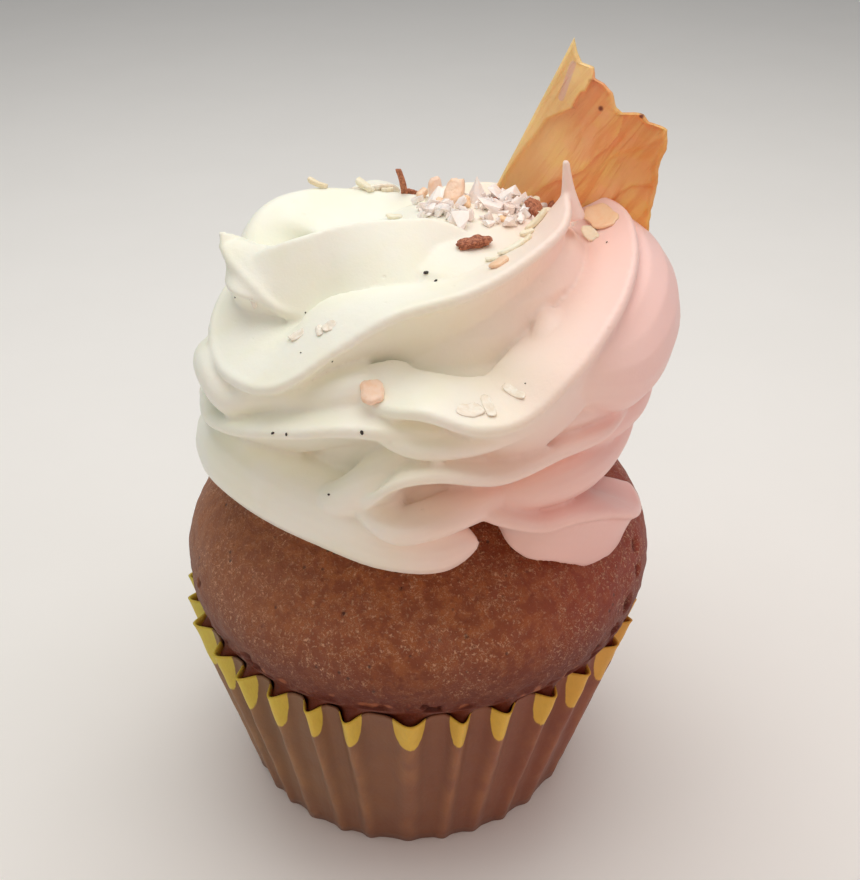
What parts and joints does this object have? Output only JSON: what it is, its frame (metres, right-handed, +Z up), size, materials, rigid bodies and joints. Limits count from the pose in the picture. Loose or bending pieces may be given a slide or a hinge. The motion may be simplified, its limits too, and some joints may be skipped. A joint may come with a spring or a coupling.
{
  "type": "cupcake",
  "caption": "Chocolate cupcake in a pleated paper case, with a tall piped swirl of whipped cream and a slice of dried fruit stood in its top.",
  "frame": {"origin": "centre of the case's flat underside", "axes": "+Z up through the swirl, +X towards the side that the swirl leans to, -Y the front shown in the picture"},
  "size_m": [0.0728, 0.072, 0.1133],
  "materials": {
    "case_paper": "pleated baking paper, yellow, soaked brown by the cake it touches",
    "sponge": "baked chocolate sponge with a fine, slightly sugary crust",
    "cream": "soft off-white whipped cream",
    "dried_fruit": "leathery orange dried fruit"
  },
  "bodies": {
    "root": {"paper_case": "case_paper", "sponge": "sponge", "cream": "cream", "dried_fruit": "dried_fruit"}
  },
  "joints": []
}
